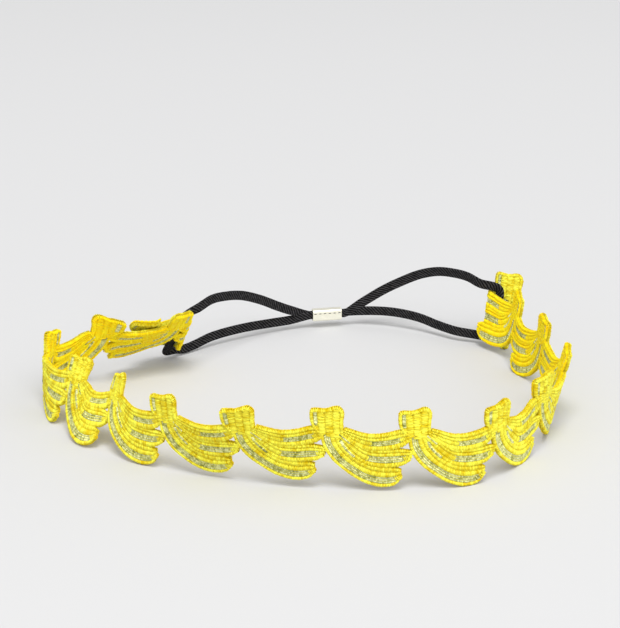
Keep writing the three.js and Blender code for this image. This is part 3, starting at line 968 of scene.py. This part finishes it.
def stitch_rotation(tree, given):
    """Each stitch lies across its line, slanted a little by chance, with its crest out of its face."""
    slant = calculated(tree, "MULTIPLY", chance(tree, given["Seed"], -1.0, 1.0, draw=1), given["Slant"])
    turn = new_node(tree, "ShaderNodeVectorRotate", rotation_type="Z_AXIS")
    along = new_node(tree, "GeometryNodeInputTangent").outputs["Tangent"]
    set_inputs(tree, turn, Vector=along, Angle=slant)
    axes = new_node(tree, "FunctionNodeAxesToRotation", primary_axis="Z", secondary_axis="Y")
    facing = vector_of(tree, z=named(tree, "side"))
    set_inputs(tree, axes, Primary_Axis=facing, Secondary_Axis=turn.outputs["Vector"])
    return axes.outputs["Rotation"]


def stitch_size(tree, given):
    """Each stitch is as wide as its band and as high as its crest, a little more or less by chance."""
    seed = given["Seed"]
    ragged = calculated(tree, "MULTIPLY", chance(tree, seed, -1.0, 1.0, draw=2), given["Ragged ends"])
    longer = calculated(tree, "ADD", ragged, 1.0)
    reach = calculated(tree, "MULTIPLY", named(tree, "half_width"), longer)
    higher = chance(tree, seed, *CREST_SPREAD, draw=3)
    rise = calculated(tree, "MULTIPLY", named(tree, "rise"), higher)
    return vector_of(tree, reach, 1.0, rise)


def stitch_tree():
    """Geometry Nodes that lay an arched thread across a line at each step along it."""
    tree = bpy.data.node_groups.new("Satin stitches", "GeometryNodeTree")
    tree.interface.new_socket("Geometry", in_out="OUTPUT", socket_type="NodeSocketGeometry")
    sockets = {}
    for name, kind in STITCH_INPUTS:
        socket = tree.interface.new_socket(name, in_out="INPUT", socket_type="NodeSocket" + kind)
        sockets[name] = socket.identifier
    given = new_node(tree, "NodeGroupInput").outputs
    lines = new_node(tree, "GeometryNodeMeshToCurve")
    set_inputs(tree, lines, Mesh=given["Geometry"])
    steps = new_node(tree, "GeometryNodeResampleCurve", mode="LENGTH")
    set_inputs(tree, steps, Curve=lines.outputs["Curve"], Length=given["Spacing"])
    stitches = new_node(tree, "GeometryNodeInstanceOnPoints")
    thread = arched_thread(tree, given["Thread width"])
    set_inputs(tree, stitches, Points=steps.outputs["Curve"], Instance=thread)
    set_inputs(tree, stitches, Rotation=stitch_rotation(tree, given), Scale=stitch_size(tree, given))
    # A random shade for each stitch: its own tone, which the materials also use to paint sparkle
    # highlights and glints
    shade = new_node(tree, "GeometryNodeStoreNamedAttribute", data_type="FLOAT", domain="INSTANCE")
    own_shade = chance(tree, given["Seed"], 0.0, 1.0, draw=4)
    set_inputs(tree, shade, Geometry=stitches.outputs["Instances"], Name="thread_shade", Value=own_shade)
    real = new_node(tree, "GeometryNodeRealizeInstances")
    set_inputs(tree, real, Geometry=shade.outputs["Geometry"])
    even = new_node(tree, "GeometryNodeSetShadeSmooth")
    set_inputs(tree, even, Geometry=real.outputs["Geometry"])
    dyed = new_node(tree, "GeometryNodeSetMaterial")
    set_inputs(tree, dyed, Geometry=even.outputs["Geometry"], Material=given["Material"])
    set_inputs(tree, new_node(tree, "NodeGroupOutput"), Geometry=dyed.outputs["Geometry"])
    return tree, sockets


def plain_mesh(piece):
    """The evaluated piece as a mesh of its own, with its modifiers gone."""
    graph = bpy.context.evaluated_depsgraph_get()
    mesh = bpy.data.meshes.new_from_object(piece.evaluated_get(graph))
    lines = piece.data
    piece.modifiers.clear()
    piece.data = mesh
    bpy.data.meshes.remove(lines)
    mesh.name = piece.name
    return mesh


def stitch_piece(name, bunches, thread, material, settings):
    """One thread's stitches on some bunches, laid flat by Geometry Nodes and then bent into the ring."""
    piece = line_object(name, bunches, thread)
    tree, sockets = stitch_tree()
    modifier = piece.modifiers.new("Satin stitches", "NODES")
    modifier.node_group = tree
    modifier[sockets["Spacing"]] = settings.spacing
    modifier[sockets["Thread width"]] = settings.thread
    modifier[sockets["Ragged ends"]] = settings.ragged
    modifier[sockets["Slant"]] = settings.slant
    modifier[sockets["Seed"]] = settings.seed + SEED_STEP * (bunches[0] - FIRST_BUNCH)
    modifier[sockets["Material"]] = material
    mesh = plain_mesh(piece)
    loose = read_attribute(mesh, "loose") > 0.5
    write_points(mesh, bent(read_points(mesh) / MM, loose) * MM)
    for fact in ("half_width", "rise", "loose"):
        mesh.attributes.remove(mesh.attributes[fact])
    bpy.data.node_groups.remove(tree)
    finish_piece(piece, "banana_trim")


def lay_stitches(thread, groups, material, settings):
    """All the stitches of one thread, in so many pieces of neighbouring bunches."""
    bunches = range(FIRST_BUNCH, LAST_BUNCH + 1)
    for number, group in enumerate(np.array_split(bunches, groups), 1):
        stitch_piece(f"{thread}_stitches_{number}", group.tolist(), thread, material, settings)


class HEADBAND_OT_yellow_stitches(bpy.types.Operator):
    """Lay the yellow satin stitches of every bunch"""

    bl_idname = "headband.yellow_stitches"
    bl_label = "Yellow stitches"

    def execute(self, context):
        settings = context.scene.headband_lace
        lay_stitches("yellow", YELLOW_GROUPS, yellow_material(settings), settings)
        return {"FINISHED"}


class HEADBAND_OT_silver_stitches(bpy.types.Operator):
    """Lay the silver metal stitches of every bunch"""

    bl_idname = "headband.silver_stitches"
    bl_label = "Silver stitches"

    def execute(self, context):
        settings = context.scene.headband_lace
        lay_stitches("silver", SILVER_GROUPS, silver_material(settings), settings)
        return {"FINISHED"}


# Lace ground


def ground_forms(index):
    if index == LAST_BUNCH:
        return [CROWN, HANGING_BANANA]
    return [CROWN, OUTER_BANANA, MIDDLE_BANANA, TOP_BANANA]


def loft_faces(sections, around, first):
    """Faces of a closed body through rings of points, its ends closed by strips from front to back."""
    faces = []
    for i in range(sections - 1):
        for j in range(around):
            a = first + i * around + j
            b = first + i * around + (j + 1) % around
            faces.append((a, b, b + around, a + around))
    last = first + (sections - 1) * around
    for j in range(around // 2 - 1):
        back = around - 1 - j
        faces.append((first + j, first + back, first + back - 1, first + j + 1))
        faces.append((last + j, last + j + 1, last + back - 1, last + back))
    return faces


def ground_body():
    """Points, faces and loose marks of the thin body under the stitches, still flat."""
    shares = np.linspace(GROUND_MARGIN, 1 - GROUND_MARGIN, GROUND_ACROSS)
    half = GROUND_HALF * (1 - np.abs(2 * shares - 1) ** GROUND_ROUNDING * (1 - GROUND_EDGE))
    points, faces, loose = [], [], []
    for index in range(FIRST_BUNCH, LAST_BUNCH + 1):
        for form in ground_forms(index):
            rows = smooth(form, np.linspace(0, len(form) - 1, GROUND_STEPS * (len(form) - 1) + 1))
            first = len(points)
            for row in rows:
                across = row[:2] + (row[2:] - row[:2]) * shares[:, None]
                across = across + (index * PITCH, 0)
                ring = [(u, v, w) for (u, v), w in zip(across, half)]
                ring += [(u, v, -w) for (u, v), w in zip(across[::-1], half[::-1])]
                points += ring
            faces += loft_faces(len(rows), 2 * GROUND_ACROSS, first)
            is_loose = form is OUTER_BANANA and index == LAST_BUNCH - 1
            loose += [is_loose] * (len(points) - first)
    return np.array(points), faces, np.array(loose)


class HEADBAND_OT_lace_ground(bpy.types.Operator):
    """Build the thin lace body under the stitches"""

    bl_idname = "headband.lace_ground"
    bl_label = "Lace ground"

    def execute(self, context):
        settings = context.scene.headband_lace
        points, faces, loose = ground_body()
        ground = new_object("lace_ground", points * MM, faces)
        write_points(ground.data, bent(points, loose) * MM)
        ground.data.shade_smooth()
        ground.data.materials.append(ground_material(settings))
        finish_piece(ground, "banana_trim")
        return {"FINISHED"}


# Elastic strap


def pocket_rows(fold, rows):
    """Rows of the strap inside a fold, turned from the strip's axes to the ring's."""
    foot, along, up, out = (axis[0] for axis in ring_frame(fold["at"]))
    face = math.degrees(math.atan2(out[1], out[0]))
    tilt = math.degrees(math.asin(out[2]))
    made = []
    for row in rows:
        point = foot + along * row[0] + out * row[1] + up * row[2]
        made.append((*point, face, tilt, 0.0))
    return made


def strand_rows(rows):
    return [(*row, 0.0, 0.0) for row in rows]


def crimp_row(along, lane):
    face = CRIMP_HEADING + 90
    point = CRIMP_PLACE + plan_direction(CRIMP_HEADING) * along + plan_direction(face) * lane
    return (*point, face, 0.0, 1.0)


def strap_route():
    """Rows of the strap's middle: place, face and tilt in degrees, and how far it is pinched."""
    mouth = CRIMP_LENGTH / 2
    lead = mouth + STRAP_LEAD
    return np.array(
        [
            crimp_row(-STRAP_END_GAP, -LANE),
            crimp_row(-mouth, -LANE),
            crimp_row(-lead, -LANE),
            *strand_rows(LEFT_LOWER_STRAND),
            *pocket_rows(LEFT_FOLD, LEFT_POCKET),
            *strand_rows(LEFT_UPPER_STRAND),
            crimp_row(-lead, LANE),
            crimp_row(-mouth, LANE),
            crimp_row(mouth, LANE),
            crimp_row(lead, LANE),
            *strand_rows(RIGHT_LOWER_STRAND),
            *pocket_rows(RIGHT_FOLD, RIGHT_POCKET),
            *strand_rows(RIGHT_UPPER_STRAND),
            crimp_row(lead, -LANE),
            crimp_row(mouth, -LANE),
            crimp_row(STRAP_END_GAP, -LANE),
        ]
    )


def centripetal(points, steps):
    """Places and tangents of a centripetal Catmull-Rom curve through points."""
    padded = np.vstack((2 * points[0] - points[1], points, 2 * points[-1] - points[-2]))
    places, tangents = [], []
    for i in range(len(points) - 1):
        p0, p1, p2, p3 = padded[i : i + 4]
        d0, d1, d2 = (math.sqrt(np.linalg.norm(b - a)) for a, b in ((p0, p1), (p1, p2), (p2, p3)))
        t1 = ((p1 - p0) / d0 - (p2 - p0) / (d0 + d1) + (p2 - p1) / d1) * d1
        t2 = ((p2 - p1) / d1 - (p3 - p1) / (d1 + d2) + (p3 - p2) / d2) * d1
        square = 3 * (p2 - p1) - 2 * t1 - t2
        cube = 2 * (p1 - p2) + t1 + t2
        last = steps if i == len(points) - 2 else steps - 1
        for t in np.arange(last + 1) / steps:
            places.append(p1 + t1 * t + square * t**2 + cube * t**3)
            tangent = t1 + 2 * square * t + 3 * cube * t**2
            tangents.append(tangent / np.linalg.norm(tangent))
    return np.array(places), np.array(tangents)


def strap_outline(half, thick):
    """The strap's section as (side, depth): ribs along both faces and round edges."""
    shares = np.linspace(1, -1, 4 * STRAP_RIBS + 1)
    into_edge = np.maximum(np.abs(shares) * half - (half - ELASTIC_EDGE), 0) / ELASTIC_EDGE
    round_edge = np.sqrt(np.maximum(1 - into_edge**2, 0))
    ribs = 1 - RIB_DEPTH * (1 + np.cos(np.pi * (shares + 1) * STRAP_RIBS)) / thick / 2
    depth = thick * round_edge * ribs
    front = [(side * half, d) for side, d in zip(shares, depth)]
    back = [(side * half, -d) for side, d in zip(shares[-2:0:-1], depth[-2:0:-1])]
    return np.array(front + back)


def strap_ring(place, tangent, face, tilt, outline):
    """The strap's outline at a place of its route, square to the route and turned to its face."""
    facing = plan_direction(face) * math.cos(math.radians(tilt))
    facing[2] = math.sin(math.radians(tilt))
    normal = facing - tangent * (facing @ tangent)
    normal /= np.linalg.norm(normal)
    across = np.cross(tangent, normal)
    return place + np.outer(outline[:, 0], across) + np.outer(outline[:, 1], normal) + SHIFT


def strap_body(width, thickness):
    """The strap's points in rings along its route, their places on it laid flat, and how many rings."""
    rows = strap_route()
    places, tangents = centripetal(rows[:, :3], STRAP_STEPS)
    at = np.arange(len(places)) / STRAP_STEPS
    face, tilt, pinched = (np.interp(at, np.arange(len(rows)), column) for column in rows[:, 3:].T)
    steps = np.linalg.norm(np.diff(places, axis=0), axis=1)
    travelled = np.concatenate(((0,), np.cumsum(steps)))
    points, unrolled = [], []
    for i, place in enumerate(places):
        wide = width + (PINCHED_WIDTH - width) * pinched[i]
        thick = thickness + (PINCHED_THICKNESS - thickness) * pinched[i]
        outline = strap_outline(wide / 2, thick / 2)
        points += list(strap_ring(place, tangents[i], face[i], tilt[i], outline))
        unrolled += [(side, travelled[i]) for side in outline[:, 0]]
    return np.array(points), unrolled, len(places)


def strap_faces(rings, around):
    faces = []
    for i in range(rings - 1):
        for j in range(around):
            a = i * around + j
            b = i * around + (j + 1) % around
            faces.append((a, a + around, b + around, b))
    last = (rings - 1) * around
    faces.append(tuple(range(around)))
    faces.append(tuple(last + j for j in reversed(range(around))))
    return faces


class HEADBAND_OT_elastic(bpy.types.Operator):
    """Build the braided elastic strap"""

    bl_idname = "headband.elastic"
    bl_label = "Elastic strap"

    def execute(self, context):
        settings = context.scene.headband_elastic
        points, unrolled, rings = strap_body(settings.width / MM, settings.thickness / MM)
        faces = strap_faces(rings, len(points) // rings)
        strap = new_object("elastic_strap", points * MM, faces)
        mesh = strap.data
        layer = mesh.uv_layers.new(name="strap")
        for corner in mesh.loops:
            layer.data[corner.index].uv = unrolled[corner.vertex_index]
        mesh.shade_smooth()
        mesh.materials.append(elastic_material(settings))
        finish_piece(strap, "elastic")
        return {"FINISHED"}


# Crimp


def crimp_ring(depth, height, corner, seam):
    """Outline of the folded strip as (depth, height), from one lip of the seam to the other."""
    points = [(-depth, CRIMP_DASHES_AT - seam)]
    corners = ((-1, -1), (1, -1), (1, 1), (-1, 1))
    for number, (x, y) in enumerate(corners):
        middle = ((depth - corner) * x, (height - corner) * y)
        for step in range(CRIMP_ROUNDING + 1):
            angle = math.radians(180 + 90 * number + 90 * step / CRIMP_ROUNDING)
            across = middle[0] + corner * math.cos(angle)
            points.append((across, middle[1] + corner * math.sin(angle)))
    points.append((-depth, CRIMP_DASHES_AT + seam))
    return points


def crimp_stations():
    """Places along the crimp, and how far its seam is open there: dashes with short bridges between."""
    dash = CRIMP_LENGTH / CRIMP_DASHES
    stations = []
    for number in range(CRIMP_DASHES):
        start = number * dash - CRIMP_LENGTH / 2
        for share, opened in CRIMP_DASH:
            stations.append((start + share * dash, opened))
    stations.append((CRIMP_LENGTH / 2, CRIMP_BRIDGE))
    return stations


class HEADBAND_OT_crimp(bpy.types.Operator):
    """Build the folded metal crimp"""

    bl_idname = "headband.crimp"
    bl_label = "Crimp"

    def execute(self, context):
        settings = context.scene.headband_crimp
        depth = LANE + PINCHED_THICKNESS / 2 + CRIMP_GAP
        height = PINCHED_WIDTH / 2 + CRIMP_GAP
        sections = []
        for along, opened in crimp_stations():
            seam = CRIMP_SEAM / 2 * opened
            outer = crimp_ring(depth + CRIMP_WALL, height + CRIMP_WALL, CRIMP_CORNER, seam)
            inner = crimp_ring(depth, height, CRIMP_CORNER - CRIMP_WALL, seam)
            sections.append([(along, d, h) for d, h in outer + inner[::-1]])
        points = np.array(sections).reshape(-1, 3)
        faces = loft_faces(len(sections), len(sections[0]), 0)
        turn = np.array(Matrix.Rotation(math.radians(CRIMP_HEADING), 3, "Z"))
        points = points @ turn.T + CRIMP_PLACE + SHIFT
        crimp = new_object("brass_crimp", points * MM, faces)
        rounding = crimp.modifiers.new("Rounding", "BEVEL")
        rounding.width = settings.bevel
        rounding.segments = 2
        rounding.limit_method = "ANGLE"
        crimp.data.materials.append(crimp_material(settings))
        finish_piece(crimp, "crimp")
        return {"FINISHED"}


# Stage


def soft_studio(settings):
    """Light from all around, stronger from the front and the right."""
    world = bpy.data.worlds.new("Soft studio")
    world.use_nodes = True
    tree = world.node_tree
    slope = new_node(tree, "ShaderNodeVectorMath", operation="DOT_PRODUCT")
    feed(tree, slope.inputs[0], new_node(tree, "ShaderNodeTexCoord").outputs["Generated"])
    feed(tree, slope.inputs[1], AMBIENT_SLOPE)
    ambient = settings.ambient
    strength = calculated(tree, "MULTIPLY_ADD", slope.outputs["Value"], ambient, ambient)
    set_inputs(tree, tree.nodes["Background"], Color=(1.0, 1.0, 1.0, 1.0), Strength=strength)
    return world


def area_light(name, place, size, power):
    """A round light that looks at the middle of the floor."""
    lamp = bpy.data.lights.new(name, "AREA")
    lamp.shape = "DISK"
    lamp.size = size
    lamp.energy = power
    light = bpy.data.objects.new(name, lamp)
    light.location = place
    light.rotation_euler = (-Vector(place)).to_track_quat("-Z", "Y").to_euler()
    bpy.context.collection.objects.link(light)


def photo_camera():
    """A camera at the photograph's place, angle and focal length."""
    lens = bpy.data.cameras.new("camera")
    lens.lens = FOCAL_PIXELS * SENSOR / IMAGE_HEIGHT
    lens.sensor_width = SENSOR
    lens.clip_start = CAMERA_NEAR
    camera = bpy.data.objects.new("camera", lens)
    angle = math.radians(CAMERA_ELEVATION)
    back = Vector((0, -math.cos(angle), math.sin(angle)))
    camera.location = Vector(SHIFT * MM) + back * CAMERA_DISTANCE
    tilt = Euler((math.pi / 2 - angle, 0, 0)).to_matrix()
    roll = Matrix.Rotation(math.radians(CAMERA_ROLL), 3, "Z")
    camera.rotation_euler = (tilt @ roll).to_euler()
    bpy.context.collection.objects.link(camera)
    return camera


class HEADBAND_OT_stage(bpy.types.Operator):
    """Set the pale floor, the soft light and the camera"""

    bl_idname = "headband.stage"
    bl_label = "Stage"

    def execute(self, context):
        settings = context.scene.headband_stage
        far = FLOOR_SIZE / 2
        corners = ((-far, -far, 0), (far, -far, 0), (far, far, 0), (-far, far, 0))
        floor = new_object("floor", corners, ((0, 1, 2, 3),))
        floor.data.materials.append(floor_material(settings))
        context.scene.world = soft_studio(settings)
        area_light("key", KEY_PLACE, KEY_SIZE, settings.key)
        area_light("front", FRONT_PLACE, FRONT_SIZE, settings.front)
        context.scene.camera = photo_camera()
        context.scene.view_settings.view_transform = "Standard"
        context.scene.view_settings.look = "None"
        return {"FINISHED"}


# Panel and registration


class HEADBAND_PT_pieces(bpy.types.Panel):
    """Lists the headband's pieces"""

    bl_label = "Banana headband"
    bl_idname = "HEADBAND_PT_pieces"
    bl_space_type = "VIEW_3D"
    bl_region_type = "UI"
    bl_category = "Headband"

    def draw(self, context):
        for operator in OPERATORS:
            self.layout.operator(operator.bl_idname)
        for holder in SETTINGS:
            group = getattr(context.scene, holder)
            box = self.layout.box()
            for name in group.__annotations__:
                box.prop(group, name)


OPERATORS = (
    HEADBAND_OT_stage,
    HEADBAND_OT_elastic,
    HEADBAND_OT_crimp,
    HEADBAND_OT_yellow_stitches,
    HEADBAND_OT_silver_stitches,
    HEADBAND_OT_lace_ground,
)
SETTINGS = {
    "headband_lace": LaceSettings,
    "headband_elastic": ElasticSettings,
    "headband_crimp": CrimpSettings,
    "headband_stage": StageSettings,
}


def register():
    for holder, group in SETTINGS.items():
        bpy.utils.register_class(group)
        setattr(bpy.types.Scene, holder, PointerProperty(type=group))
    for made in (*OPERATORS, HEADBAND_PT_pieces):
        bpy.utils.register_class(made)


def unregister():
    for made in (HEADBAND_PT_pieces, *reversed(OPERATORS)):
        bpy.utils.unregister_class(made)
    for holder, group in SETTINGS.items():
        delattr(bpy.types.Scene, holder)
        bpy.utils.unregister_class(group)


def main():
    register()
    for operator in OPERATORS:
        family, name = operator.bl_idname.split(".")
        getattr(getattr(bpy.ops, family), name)()


if __name__ == "__main__":
    main()
